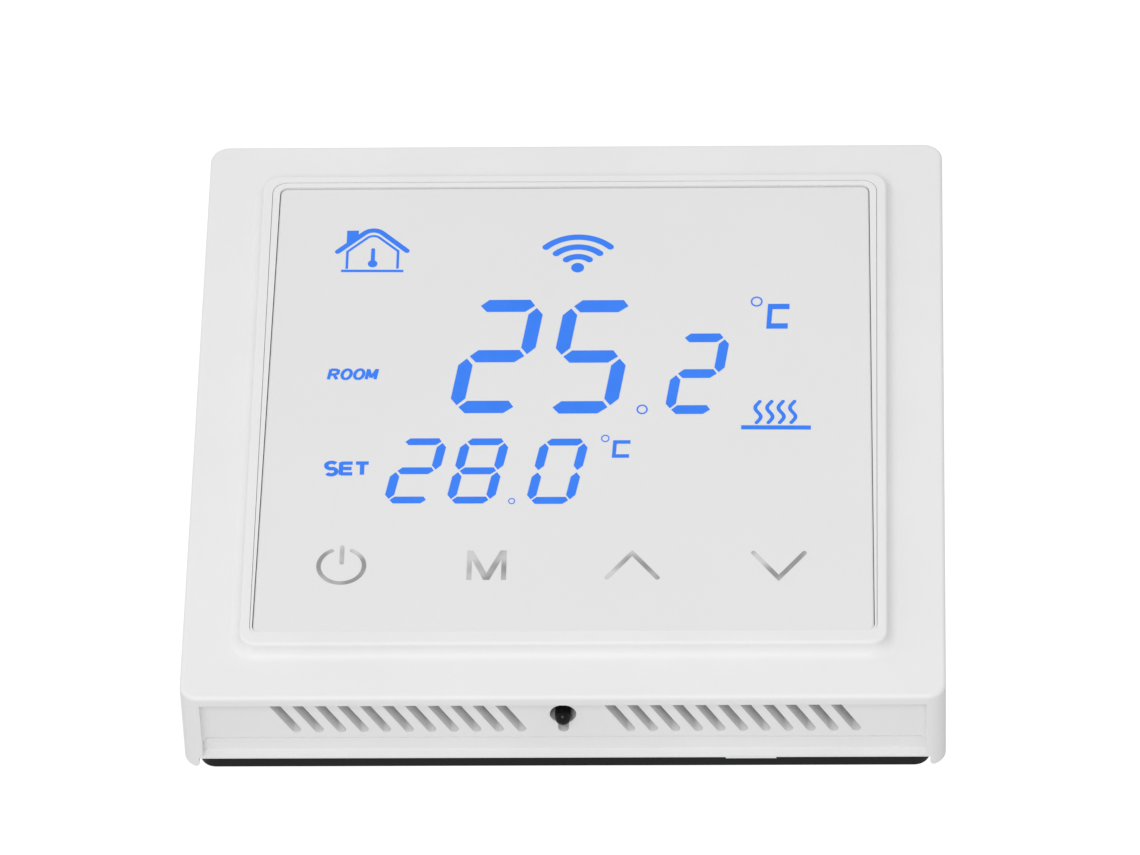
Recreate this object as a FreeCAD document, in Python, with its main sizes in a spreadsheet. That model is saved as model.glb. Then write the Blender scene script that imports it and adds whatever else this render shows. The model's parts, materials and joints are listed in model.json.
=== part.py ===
"""Wall thermostat: a square touch-screen face that clips on a mounting plate with an in-wall power box.

Frame: +X right, +Z up, the front looks along -Y. The origin is the middle of the back of the
mounting plate, so the wall's surface is the plane y = 0, the face is at y < 0 and the box at y > 0.
"""
import FreeCAD, Part
import math
import os
import re
import Sketcher

SIZES = {
    # face frame
    "frame_side": 86.0, "corner_radius": 2.2, "face_depth": 11.8, "face_edge_radius": 0.5,
    "frame_wall": 1.7, "front_wall": 1.8, "bottom_wall": 3.6,
    # raised ring around the display
    "face_border": 6.5, "ring_wall": 1.15, "ring_height": 1.83, "ring_corner": 2.0,
    "ring_top_radius": 0.35, "ring_base_radius": 1.2,
    # recess, vents and keyhole in the frame's underside
    "recess_post": 2.2, "notch_post": 1.75, "recess_depth": 1.2, "lip_depth": 1.31, "recess_end": 7.97,
    "recess_corner": 1.0, "post_bevel": 0.5, "groove_depth": 0.15, "groove_width": 0.25,
    "back_lip": 0.22, "back_lip_slope": 0.06,
    "vent_width": 1.08, "vent_pitch": 2.54, "vent_count": 11, "vent_run": 5.45,
    "vent_slant": 2.47, "vent_start": 1.75, "left_vent": -32.6, "right_vent": 5.05,
    "keyhole_radius": 1.5, "keyhole_from_face": 4.16, "keyhole_slot": 1.2,
    # pry tab on the frame's back edge
    "pry_left": 18.2, "pry_right": 23.9, "pry_depth": 0.2,
    # display stack, front to back
    "carrier_gap": 0.05, "carrier_sink": 0.1, "carrier_corner": 1.7, "carrier_back": 6.6,
    "flange_overlap": 0.95, "flange_thick": 1.3, "flange_gap": 0.1,
    "glass_top_inset": 0.95, "glass_bottom_inset": 0.35, "glass_end_inset": 0.8, "glass_gap": 0.07,
    "glass_corner": 0.9, "glass_edge_radius": 0.25, "glass_thick": 1.5, "glass_sink": 0.25,
    "lcd_width": 62.0, "lcd_top": 30.5, "lcd_bottom": 18.5, "lcd_thick": 2.0, "fit_gap": 0.1,
    "film_thick": 0.25, "guide_thick": 1.9, "guide_inset": 3.0, "zebra_thick": 2.0,
    "led_width": 3.5, "led_high": 1.5, "led_pitch": 16.0,
    "key_row": 25.0, "key_pitch": 16.5, "spring_radius": 2.6, "spring_wire": 0.25, "spring_turns": 4.0,
    "spring_way": 0.6,
    # control board
    "board_thick": 1.6, "board_front": 6.4, "board_side_gap": 1.2, "board_top_gap": 2.3,
    "board_low_gap": 2.8, "boss_radius": 1.9, "boss_inset": 3.0, "boss_height": 30.0, "boss_hole": 2.2,
    "screw_radius": 0.8, "head_radius": 1.6, "head_thick": 0.9, "hole_gap": 0.15,
    "chip_side": 10.0, "chip_thick": 1.4, "radio_width": 16.0, "radio_length": 24.0,
    "shield_thick": 2.1, "beeper_radius": 4.5, "beeper_thick": 2.6,
    # temperature probe
    "bead_radius": 0.93, "bead_behind": 0.3, "bead_lift": 0.05, "bead_long": 2.8, "sleeve_radius": 1.25,
    "sleeve_gap": 0.3, "lead_radius": 0.3, "lead_pitch": 1.0, "lead_rise": 0.6,
    # mounting plate
    "plate_thick": 1.5, "plate_gap": 0.1, "plate_corner": 1.8, "plate_lift": 0.1,
    "window_width": 45.0, "window_height": 36.0, "wall_screw_pitch": 60.0, "slot_width": 4.4,
    "slot_length": 9.0, "tab_length": 14.0, "tab_thick": 1.2, "tab_reach": 3.0, "tab_gap": 0.25,
    # in-wall box
    "box_width": 50.0, "box_height": 42.0, "box_depth": 22.7, "box_wall": 1.6,
    "box_flange_height": 54.0, "box_flange": 1.5, "box_screw_x": 19.0, "box_screw_z": 24.0,
    "cover_thick": 0.8, "power_front": 2.4, "power_gap": 0.4, "post_radius": 2.3,
    # header between the two boards
    "pin_pitch": 2.54, "pin_columns": 6, "pin_side": 0.64, "socket_depth": 3.2, "socket_z": 8.0,
    # terminals
    "poles": 6, "pole_pitch": 7.2, "block_depth": 11.0, "block_height": 10.0, "block_skin": 0.4,
    "terminal_radius": 1.5, "terminal_head": 2.15, "terminal_head_thick": 1.3, "run_gap": 0.06,
    "clamp_width": 4.8, "clamp_long": 6.1, "clamp_high": 4.6, "clamp_wall": 0.7,
    "clamp_travel": 1.3, "contact_thick": 0.8, "wire_way": 3.6,
}

AXIS_TURN = {"x": ((0, 1, 0), 90), "y": ((1, 0, 0), -90), "z": ((0, 0, 1), 0)}
PLANES = {"front": "XZ_Plane", "under": "XY_Plane", "side": "YZ_Plane"}

document = FreeCAD.newDocument("wall_thermostat")
sheet = document.addObject("Spreadsheet::Sheet", "Sizes")
for row, (alias, value) in enumerate(SIZES.items(), start=1):
    sheet.set(f"A{row}", alias)
    sheet.set(f"B{row}", str(value))
    sheet.setAlias(f"B{row}", alias)
document.recompute()

nodes = []


# ---------------------------------------------------------------- helpers
def formula(text):
    """An expression on the sheet, from text that uses its aliases bare."""
    return re.sub(r"[a-z_]+\b", lambda word: "Sizes." + word[0] if word[0] in SIZES else word[0], str(text))


def number(text):
    """What such an expression comes to now."""
    return float(sheet.evalExpression(formula(text)))


def bind(thing, **sizes):
    for name, text in sizes.items():
        thing.setExpression(name, formula(text))


def place(thing, x, y, z):
    for axis, text in zip("xyz", (x, y, z)):
        thing.setExpression(f".Placement.Base.{axis}", formula(text))


def scratch_name(kind):
    return f"{kind}_{len(document.Objects)}"


def block(x, y, z):
    """A box between a low and a high expression on each axis."""
    box = document.addObject("Part::Box", scratch_name("block"))
    bind(box, Length=f"({x[1]}) - ({x[0]})", Width=f"({y[1]}) - ({y[0]})", Height=f"({z[1]}) - ({z[0]})")
    place(box, x[0], y[0], z[0])
    return box


def rod(axis, x, y, z, radius, length):
    """A cylinder that starts at x, y, z and runs along +axis."""
    cylinder = document.addObject("Part::Cylinder", scratch_name("rod"))
    bind(cylinder, Radius=radius, Height=length)
    direction, angle = AXIS_TURN[axis]
    cylinder.Placement.Rotation = FreeCAD.Rotation(FreeCAD.Vector(*direction), angle)
    place(cylinder, x, y, z)
    return cylinder


def ball(x, y, z, radius):
    sphere = document.addObject("Part::Sphere", scratch_name("ball"))
    bind(sphere, Radius=radius)
    place(sphere, x, y, z)
    return sphere


def fuse(*pieces):
    if len(pieces) == 1:
        return pieces[0]
    joined = document.addObject("Part::MultiFuse", scratch_name("fuse"))
    joined.Shapes = list(pieces)
    joined.Refine = True
    return joined


def group(*pieces):
    """Separate solids that share one node."""
    many = document.addObject("Part::Compound", scratch_name("group"))
    many.Links = list(pieces)
    return many


def cut(base, *tools):
    left = document.addObject("Part::Cut", scratch_name("cut"))
    left.Base = base
    left.Tool = fuse(*tools)
    return left


def rounded(base, radius, test):
    """Fillet the edges of base that pass the test."""
    document.recompute()
    names = [i for i, edge in enumerate(base.Shape.Edges, start=1) if test(edge)]
    smooth = document.addObject("Part::Fillet", scratch_name("round"))
    smooth.Base = base
    smooth.Edges = [(i, number(radius), number(radius)) for i in names]
    return smooth


def node(label, thing):
    """Name a finished sub-part."""
    thing.Label = label
    nodes.append(thing)
    return thing


def sketch_on(body, side, offset):
    """A sketch on the body's own plane; offset runs along -Y in front, +Z under and +X at the side."""
    sketch = body.newObject("Sketcher::SketchObject", scratch_name("sketch"))
    plane = next(f for f in body.Origin.OriginFeatures if f.Role == PLANES[side])
    sketch.AttachmentSupport = [(plane, "")]
    sketch.MapMode = "FlatFace"
    sketch.setExpression(".AttachmentOffset.Base.z", formula(offset))
    return sketch


def hold(sketch, kind, *where_and_size):
    """Add a dimension that follows the sheet."""
    *where, text = where_and_size
    index = sketch.addConstraint(Sketcher.Constraint(kind, *where, number(text)))
    sketch.setExpression(f"Constraints[{index}]", formula(text))


def draw_polygon(sketch, points):
    """A closed outline whose corners are pairs of expressions."""
    spots = [FreeCAD.Vector(number(x), number(y), 0) for x, y in points]
    count = len(spots)
    first = sketch.GeometryCount
    for i in range(count):
        sketch.addGeometry(Part.LineSegment(spots[i], spots[(i + 1) % count]))
    for i in range(count):
        sketch.addConstraint(Sketcher.Constraint("Coincident", first + i, 2, first + (i + 1) % count, 1))
    for i, (x, y) in enumerate(points):
        hold(sketch, "DistanceX", -1, 1, first + i, 1, x)
        hold(sketch, "DistanceY", -1, 1, first + i, 1, y)


def draw_rounded(sketch, left, right, low, high, radius):
    """A rectangle with four equal corner arcs."""
    x0, x1, y0, y1, r = (number(text) for text in (left, right, low, high, radius))
    first = sketch.GeometryCount
    ends = [
        (x0 + r, y0), (x1 - r, y0), (x1, y0 + r), (x1, y1 - r),
        (x1 - r, y1), (x0 + r, y1), (x0, y1 - r), (x0, y0 + r),
    ]
    spots = [FreeCAD.Vector(x, y, 0) for x, y in ends]
    for i in range(4):
        sketch.addGeometry(Part.LineSegment(spots[2 * i], spots[2 * i + 1]))
    centres = [(x1 - r, y0 + r), (x1 - r, y1 - r), (x0 + r, y1 - r), (x0 + r, y0 + r)]
    for i, (x, y) in enumerate(centres):
        circle = Part.Circle(FreeCAD.Vector(x, y, 0), FreeCAD.Vector(0, 0, 1), r)
        start = math.radians(90 * i - 90)
        sketch.addGeometry(Part.ArcOfCircle(circle, start, start + math.pi / 2))
    for i in range(4):
        side, arc, following = first + i, first + 4 + i, first + (i + 1) % 4
        sketch.addConstraint(Sketcher.Constraint("Tangent", side, 2, arc, 1))
        sketch.addConstraint(Sketcher.Constraint("Tangent", arc, 2, following, 1))
        sketch.addConstraint(Sketcher.Constraint("Horizontal" if i % 2 == 0 else "Vertical", side))
        if i:
            sketch.addConstraint(Sketcher.Constraint("Equal", first + 4, arc))
    hold(sketch, "Radius", first + 4, radius)
    hold(sketch, "DistanceY", -1, 1, first, 1, low)
    hold(sketch, "DistanceX", -1, 1, first + 1, 1, right)
    hold(sketch, "DistanceY", -1, 1, first + 2, 1, high)
    hold(sketch, "DistanceX", -1, 1, first + 3, 1, left)


def draw_slot(sketch, start, end, radius):
    """A round-ended slot between two centres, each a pair of expressions."""
    ax, ay, bx, by, r = (number(text) for text in (*start, *end, radius))
    along = math.atan2(by - ay, bx - ax)
    side = FreeCAD.Vector(-math.sin(along) * r, math.cos(along) * r, 0)
    a, b = FreeCAD.Vector(ax, ay, 0), FreeCAD.Vector(bx, by, 0)
    up = FreeCAD.Vector(0, 0, 1)
    first = sketch.GeometryCount
    sketch.addGeometry(Part.LineSegment(a - side, b - side))
    sketch.addGeometry(Part.ArcOfCircle(Part.Circle(b, up, r), along - math.pi / 2, along + math.pi / 2))
    sketch.addGeometry(Part.LineSegment(b + side, a + side))
    sketch.addGeometry(Part.ArcOfCircle(Part.Circle(a, up, r), along + math.pi / 2, along + 1.5 * math.pi))
    for i in range(4):
        sketch.addConstraint(Sketcher.Constraint("Tangent", first + i, 2, first + (i + 1) % 4, 1))
    hold(sketch, "Radius", first + 1, radius)
    for arc, (x, y) in ((first + 1, end), (first + 3, start)):
        hold(sketch, "DistanceX", -1, 1, arc, 3, x)
        hold(sketch, "DistanceY", -1, 1, arc, 3, y)


def draw_circle(sketch, x, y, radius):
    centre = FreeCAD.Vector(number(x), number(y), 0)
    index = sketch.addGeometry(Part.Circle(centre, FreeCAD.Vector(0, 0, 1), number(radius)))
    hold(sketch, "Radius", index, radius)
    hold(sketch, "DistanceX", -1, 1, index, 3, x)
    hold(sketch, "DistanceY", -1, 1, index, 3, y)


def new_body(label):
    body = document.addObject("PartDesign::Body", label)
    return node(label, body)


def pad(body, sketch, length):
    """Add material along the sketch's normal."""
    feature = body.newObject("PartDesign::Pad", scratch_name("pad"))
    feature.Profile = sketch
    bind(feature, Length=length)
    sketch.Visibility = False
    document.recompute()
    return feature


def pocket(body, sketch, length, along_normal=False):
    """Remove material against the sketch's normal, or along it, and make sure that some went."""
    before = body.Shape.Volume
    feature = body.newObject("PartDesign::Pocket", scratch_name("pocket"))
    feature.Profile = sketch
    feature.Reversed = along_normal
    bind(feature, Length=length)
    document.recompute()
    if body.Shape.Volume > before - 1e-6:
        raise RuntimeError(f"{body.Label}: {feature.Name} cut nothing")
    return feature


def soften(body, radius, test):
    """PartDesign fillet on the edges of the body that pass the test."""
    names = [f"Edge{i}" for i, edge in enumerate(body.Shape.Edges, start=1) if test(edge)]
    feature = body.newObject("PartDesign::Fillet", scratch_name("fillet"))
    feature.Base = (body.Tip if body.Tip != feature else feature.BaseFeature, names)
    bind(feature, Radius=radius)
    document.recompute()
    return feature


def in_plane(edge, axis, value, slack=1e-4):
    box = edge.BoundBox
    low, high = getattr(box, axis + "Min"), getattr(box, axis + "Max")
    return abs(low - value) < slack and abs(high - value) < slack


def slab(label, left, right, low, high, radius, front, thick):
    """A flat piece with rounded corners whose front is at y = -front."""
    body = new_body(label)
    sketch = sketch_on(body, "front", f"({front}) - ({thick})")
    draw_rounded(sketch, left, right, low, high, radius)
    pad(body, sketch, thick)
    return body


HALF = "frame_side / 2"
BOTTOM = "-frame_side / 2"
FACE = "face_depth"
RING_TOP = "(face_depth + ring_height)"
RING_HALF = "(frame_side / 2 - face_border)"
RING_INNER = f"({RING_HALF} - ring_wall)"
CAVITY = "(frame_side / 2 - frame_wall)"
RECESS_HALF = "(frame_side / 2 - recess_post)"
NOTCH_HALF = "(frame_side / 2 - notch_post)"
BOARD_HALF = f"({CAVITY} - board_side_gap)"
BOARD_TOP = f"({CAVITY} - board_top_gap)"
BOARD_DROP = "(frame_side / 2 - bottom_wall - board_low_gap)"
BOSS_ACROSS = f"({CAVITY} - boss_inset)"
GLASS_TOP_HALF = f"({RING_INNER} - glass_top_inset)"
GLASS_BOTTOM_HALF = f"({RING_INNER} - glass_bottom_inset)"
GLASS_END = f"({RING_INNER} - glass_end_inset)"
GLASS_BACK = f"({RING_TOP} - glass_sink - glass_thick)"
PLATE_DROP = "(frame_side / 2 - plate_lift)"
KEY_BACK = "(face_depth - keyhole_from_face)"
BEAD_BACK = f"({KEY_BACK} - bead_behind)"


# ---------------------------------------------------------------- face
def front_frame():
    body = new_body("front_frame")
    outline = sketch_on(body, "front", "0")
    draw_rounded(outline, BOTTOM, HALF, BOTTOM, HALF, "corner_radius")
    pad(body, outline, FACE)
    soften(body, "face_edge_radius", lambda edge: in_plane(edge, "Y", -number(FACE)))

    ring = sketch_on(body, "front", FACE)
    draw_rounded(ring, f"-{RING_HALF}", RING_HALF, f"-{RING_HALF}", RING_HALF, "ring_corner")
    pad(body, ring, "ring_height")
    soften(body, "ring_top_radius", lambda edge: in_plane(edge, "Y", -number(RING_TOP)))
    reach = number(RING_HALF) + 0.01
    soften(body, "ring_base_radius", lambda edge: in_plane(edge, "Y", -number(FACE))
           and max(abs(edge.BoundBox.XMax), abs(edge.BoundBox.ZMax)) < reach)

    window = sketch_on(body, "front", RING_TOP)
    draw_rounded(window, f"-{RING_INNER}", RING_INNER, f"-{RING_INNER}", RING_INNER, "carrier_corner")
    pocket(body, window, RING_TOP)
    cavity = sketch_on(body, "front", f"{FACE} - front_wall")
    draw_rounded(cavity, f"-{CAVITY}", CAVITY, f"{BOTTOM} + bottom_wall", CAVITY, "corner_radius / 2")
    pocket(body, cavity, FACE)
    bosses = sketch_on(body, "front", "board_front")
    for sx in ("", "-"):
        for sz in ("", "-"):
            draw_circle(bosses, f"{sx}{BOSS_ACROSS}", f"{sz}boss_height", "boss_radius")
    pad(body, bosses, f"{FACE} - front_wall / 2 - board_front")
    holes = sketch_on(body, "front", "board_front + boss_hole")
    for sx in ("", "-"):
        for sz in ("", "-"):
            draw_circle(holes, f"{sx}{BOSS_ACROSS}", f"{sz}boss_height", "screw_radius + hole_gap / 2")
    pocket(body, holes, "boss_hole")
    return body


def underside(body):
    """Recess, vents, probe keyhole and the plate's notch along the bottom edge, and vents on top."""
    front = f"(-{FACE})"
    recess = sketch_on(body, "side", f"-{RECESS_HALF}")
    draw_polygon(recess, [
        (f"{front} + lip_depth", f"{BOTTOM} - 1"), (f"{front} + lip_depth", f"{BOTTOM} + recess_depth"),
        (f"{front} + recess_end", f"{BOTTOM} + recess_depth"), (f"{front} + recess_end", f"{BOTTOM} - 1"),
    ])
    pocket(body, recess, f"2 * {RECESS_HALF}", along_normal=True)
    end, floor = number(RECESS_HALF), number(f"{BOTTOM} + recess_depth")
    soften(body, "recess_corner", lambda edge: in_plane(edge, "Z", floor)
           and (in_plane(edge, "X", end) or in_plane(edge, "X", -end)))
    behind = sketch_on(body, "side", f"-{RECESS_HALF}")
    draw_polygon(behind, [
        (f"{front} + recess_end", f"{BOTTOM} - 1"),
        (f"{front} + recess_end", f"{BOTTOM} + recess_depth + groove_depth"),
        (f"{front} + recess_end + groove_width", f"{BOTTOM} + recess_depth + groove_depth"),
        (f"{front} + recess_end + groove_width", f"{BOTTOM} + recess_depth"),
        ("-plate_thick - back_lip - back_lip_slope", f"{BOTTOM} + recess_depth"),
        ("-plate_thick - back_lip", BOTTOM), ("-plate_thick - back_lip", f"{BOTTOM} - 1"),
    ])
    pocket(body, behind, f"2 * {RECESS_HALF}", along_normal=True)
    notch = sketch_on(body, "under", f"{BOTTOM} - 1")
    draw_polygon(notch, [
        (f"-{NOTCH_HALF}", "-plate_thick"), ("pry_left", "-plate_thick"),
        ("pry_left", "-plate_thick + pry_depth"), ("pry_right", "-plate_thick + pry_depth"),
        ("pry_right", "-plate_thick"), (NOTCH_HALF, "-plate_thick"), (NOTCH_HALF, "-post_bevel"),
        (f"{NOTCH_HALF} + post_bevel / 3", "-post_bevel / 3"), (f"{NOTCH_HALF} + post_bevel", "0"),
        (f"{NOTCH_HALF} + post_bevel", "1"), (f"-{NOTCH_HALF} - post_bevel", "1"),
        (f"-{NOTCH_HALF} - post_bevel", "0"), (f"-{NOTCH_HALF} - post_bevel / 3", "-post_bevel / 3"),
        (f"-{NOTCH_HALF}", "-post_bevel"),
    ])
    pocket(body, notch, "bottom_wall + 2", along_normal=True)
    key = sketch_on(body, "under", f"{BOTTOM} - 1")
    draw_circle(key, "0", f"-{KEY_BACK}", "keyhole_radius")
    pocket(body, key, "bottom_wall + 2", along_normal=True)
    tail = sketch_on(body, "under", f"{BOTTOM} - 1")
    draw_slot(tail, ("0", f"-{KEY_BACK}"), ("0", f"{front} + vent_start + vent_run - keyhole_slot / 2"),
              "keyhole_slot / 2")
    pocket(body, tail, "bottom_wall + 2", along_normal=True)
    for level in (f"{BOTTOM} - 1", f"{HALF} - bottom_wall - 1"):
        for start in ("left_vent", "right_vent"):
            vent = sketch_on(body, "under", level)
            ahead, behind = f"{front} + vent_start + vent_width / 2", f"{front} + vent_start + vent_run"
            draw_slot(vent, (start, ahead), (f"{start} + vent_slant", f"{behind} - vent_width / 2"),
                      "vent_width / 2")
            first = pocket(body, vent, "bottom_wall + 2", along_normal=True)
            row = body.newObject("PartDesign::LinearPattern", scratch_name("row"))
            row.Originals = [first]
            row.Direction = (vent, ["H_Axis"])
            bind(row, Length="vent_pitch * (vent_count - 1)", Occurrences="vent_count")
            body.Tip = row
            document.recompute()


def tapered(body, grow, back, thick):
    """The display window's outline, wider at the bottom than at the top, grown on all sides and padded."""
    outline = sketch_on(body, "front", back)
    top, bottom, end = (f"({size} + {grow})" for size in (GLASS_TOP_HALF, GLASS_BOTTOM_HALF, GLASS_END))
    draw_polygon(outline, [(f"-{bottom}", f"-{end}"), (bottom, f"-{end}"), (top, end), (f"-{top}", end)])
    pad(body, outline, thick)
    soften(body, f"glass_corner + {grow}",
           lambda edge: edge.BoundBox.YLength > number(thick) * 0.9)


def display_carrier():
    body = document.addObject("PartDesign::Body", "carrier_body")
    half = f"({RING_INNER} - carrier_gap)"
    front = f"({RING_TOP} - carrier_sink)"
    rim = sketch_on(body, "front", "carrier_back")
    draw_rounded(rim, f"-{half}", half, f"-{half}", half, "carrier_corner - carrier_gap")
    pad(body, rim, f"{front} - carrier_back")
    flange = sketch_on(body, "front", f"{FACE} - front_wall - flange_gap - flange_thick")
    wide = f"({RING_INNER} + flange_overlap)"
    draw_rounded(flange, f"-{wide}", wide, f"-{wide}", wide, "carrier_corner")
    pad(body, flange, "flange_thick")
    view = sketch_on(body, "front", front)
    draw_rounded(view, "-lcd_width / 2 - fit_gap", "lcd_width / 2 + fit_gap", "-lcd_bottom - fit_gap",
                 "lcd_top + fit_gap", "fit_gap")
    pocket(body, view, front)
    keys = sketch_on(body, "front", front)
    for i in range(4):
        draw_circle(keys, f"key_pitch * {i - 1.5}", "-key_row", "spring_radius + spring_way")
    pocket(body, keys, front)
    seat = document.addObject("PartDesign::Body", "glass_seat")
    tapered(seat, "glass_gap", f"{GLASS_BACK} - fit_gap / 2", "glass_thick + glass_sink + 1")
    node("display_carrier", cut(body, seat))


def touch_glass():
    body = new_body("touch_glass")
    tapered(body, "0", GLASS_BACK, "glass_thick")
    soften(body, "glass_edge_radius", lambda edge: in_plane(edge, "Y", -number(f"{RING_TOP} - glass_sink")))


LCD_FRONT = f"({GLASS_BACK} - fit_gap)"
FILM_FRONT = f"({LCD_FRONT} - lcd_thick - fit_gap / 2)"
GUIDE_FRONT = f"({FILM_FRONT} - film_thick - fit_gap / 2)"
REFLECTOR_FRONT = f"({GUIDE_FRONT} - guide_thick - fit_gap / 2)"


def layer(front, thick, low, high, inset="0"):
    """One flat sheet of the display stack."""
    return block((f"-lcd_width / 2 + {inset}", f"lcd_width / 2 - {inset}"),
                 (f"-{front}", f"-{front} + {thick}"), (low, high))


def display_stack():
    low, high = "-lcd_bottom", "lcd_top"
    guide_low, guide_high = "-lcd_bottom + guide_inset", "lcd_top - guide_inset"
    node("lcd_panel", layer(LCD_FRONT, "lcd_thick", low, high))
    node("diffuser_film", layer(FILM_FRONT, "film_thick", guide_low, guide_high, "0.4"))
    node("light_guide", layer(GUIDE_FRONT, "guide_thick", guide_low, guide_high, "0.4"))
    node("reflector_film", layer(REFLECTOR_FRONT, "film_thick", guide_low, guide_high, "0.4"))
    back = f"-{GUIDE_FRONT} + guide_thick"
    leds = [block((f"led_pitch * {i - 1} - led_width / 2", f"led_pitch * {i - 1} + led_width / 2"),
                  (f"-{GUIDE_FRONT} + 0.2", back), (f"{guide_low} - 0.1 - led_high", f"{guide_low} - 0.1"))
            for i in range(3)]
    node("backlight_leds", group(*leds))
    node("zebra_strip", block(("-lcd_width / 2 + 4", "lcd_width / 2 - 4"),
                              (f"-{LCD_FRONT} + lcd_thick", "-board_front"),
                              ("lcd_top - 0.4 - zebra_thick", "lcd_top - 0.4")))


def touch_springs():
    """Four coil springs that carry the touch keys' signal from the board to the glass, in half turns."""
    middle = "(spring_radius - spring_wire)"
    clear = "(spring_wire + fit_gap)"
    rise = f"(({GLASS_BACK} - board_front - 2 * {clear}) / (2 * spring_turns))"
    springs = []
    for key in range(4):
        halves = []
        for turn in range(2 * int(SIZES["spring_turns"])):
            half = document.addObject("Part::Torus", scratch_name("turn"))
            bind(half, Radius1=f"sqrt({middle}^2 + ({rise} / 2)^2)", Radius2="spring_wire")
            half.Angle3 = 180
            side = 1 if turn % 2 == 0 else -1
            start = FreeCAD.Vector(side * number(middle), number(f"{rise} / 2"), 0).normalize()
            across = FreeCAD.Vector(0, 0, side)
            half.Placement.Rotation = FreeCAD.Rotation(start, across, start.cross(across), "XYZ")
            place(half, f"key_pitch * {key - 1.5}", f"-board_front - {clear} - {rise} * {turn + 0.5}", "-key_row")
            halves.append(half)
        springs.append(fuse(*halves))
    node("touch_springs", group(*springs))


# ---------------------------------------------------------------- control board and probe
BOARD_BACK = "(board_front - board_thick)"


def corners(x, z):
    return [(sx + x, sz + z) for sx in ("", "-") for sz in ("", "-")]


def control_board():
    board = block((f"-{BOARD_HALF}", BOARD_HALF), ("-board_front", f"-{BOARD_BACK}"),
                  (f"-{BOARD_DROP}", BOARD_TOP))
    holes = [rod("y", x, "-board_front - 1", z, "screw_radius + hole_gap", "board_thick + 2")
             for x, z in corners(BOSS_ACROSS, "boss_height")]
    node("control_board", cut(board, *holes))
    screws = []
    for x, z in corners(BOSS_ACROSS, "boss_height"):
        shank = rod("y", x, "-board_front - 2", z, "screw_radius", "board_thick + 2.1")
        head = rod("y", x, f"-{BOARD_BACK} + 0.05", z, "head_radius", "head_thick")
        socket = block((f"{x} - head_radius * 0.7", f"{x} + head_radius * 0.7"),
                       (f"-{BOARD_BACK} + head_thick * 0.6", f"-{BOARD_BACK} + head_thick * 1.5"),
                       (f"{z} - 0.2", f"{z} + 0.2"))
        screws.append(cut(fuse(shank, head), socket))
    node("board_screws", group(*screws))


def on_board(x, z, wide, high, thick):
    """A flat part soldered on the control board's back."""
    return block((f"{x} - ({wide}) / 2", f"{x} + ({wide}) / 2"), (f"-{BOARD_BACK}", f"-{BOARD_BACK} + {thick}"),
                 (f"{z} - ({high}) / 2", f"{z} + ({high}) / 2"))


def board_parts():
    node("main_chip", on_board("14", "-9", "chip_side", "chip_side", "chip_thick"))
    node("memory_chip", on_board("-2", "-22", "5", "4", "1.2"))
    node("radio_board", on_board("-22", "-8", "radio_width + 2", "radio_length", "0.8"))
    shield = block(("-22 - radio_width / 2", "-22 + radio_width / 2"),
                   (f"-{BOARD_BACK} + 0.8", f"-{BOARD_BACK} + 0.8 + shield_thick"),
                   ("-8 - radio_length / 2 + 1", "-8 + radio_length / 2 - 7"))
    node("radio_shield", shield)
    beeper = rod("y", "28", f"-{BOARD_BACK}", "20", "beeper_radius", "beeper_thick")
    vent = rod("y", "28", f"-{BOARD_BACK} + beeper_thick / 2", "20", "0.9", "beeper_thick")
    node("beeper", cut(beeper, vent))
    node("clock_crystal", rounded(on_board("25", "-9", "3.4", "9", "2.2"), "0.8",
                                  lambda edge: edge.BoundBox.YLength > 2.0))
    chips = []
    for i in range(6):
        for j in range(3):
            chips.append(on_board(f"{-2 + 5.2 * i}", f"{-32 + 2.2 * j - 1.5 * (i % 2)}", "1.6", "0.8", "0.6"))
    for i in range(5):
        chips.append(on_board(f"{4 + 4.6 * i}", "1.5", "1.6", "0.8", "0.6"))
    node("chip_parts", group(*chips))


def probe():
    tip_middle = f"{BOTTOM} + bead_lift + bead_radius"
    shaft = rod("z", "0", f"-{BEAD_BACK}", tip_middle, "bead_radius", "bead_long")
    tip = ball("0", f"-{BEAD_BACK}", tip_middle, "bead_radius")
    node("probe_bead", fuse(shaft, tip))
    sleeve_low = f"{tip_middle} + bead_long"
    sleeve_top = f"(-{BOARD_DROP} - sleeve_gap)"
    node("probe_sleeve", rod("z", "0", f"-{BEAD_BACK}", sleeve_low, "sleeve_radius",
                             f"{sleeve_top} - ({sleeve_low})"))
    leads = []
    for side in ("-", ""):
        x = f"{side}lead_pitch / 2"
        rise = rod("z", x, f"-{BEAD_BACK}", sleeve_top, "lead_radius", "lead_rise")
        bend = ball(x, f"-{BEAD_BACK}", f"{sleeve_top} + lead_rise", "lead_radius")
        run = rod("y", x, f"-{BEAD_BACK}", f"{sleeve_top} + lead_rise", "lead_radius",
                  f"{BEAD_BACK} - board_front")
        leads.append(fuse(rise, bend, run))
    node("probe_leads", group(*leads))


def pin_spots():
    return [(f"pin_pitch * {i} - pin_pitch * (pin_columns - 1) / 2", f"socket_z + pin_pitch * {j - 0.5}")
            for i in range(SIZES["pin_columns"]) for j in range(2)]


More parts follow.
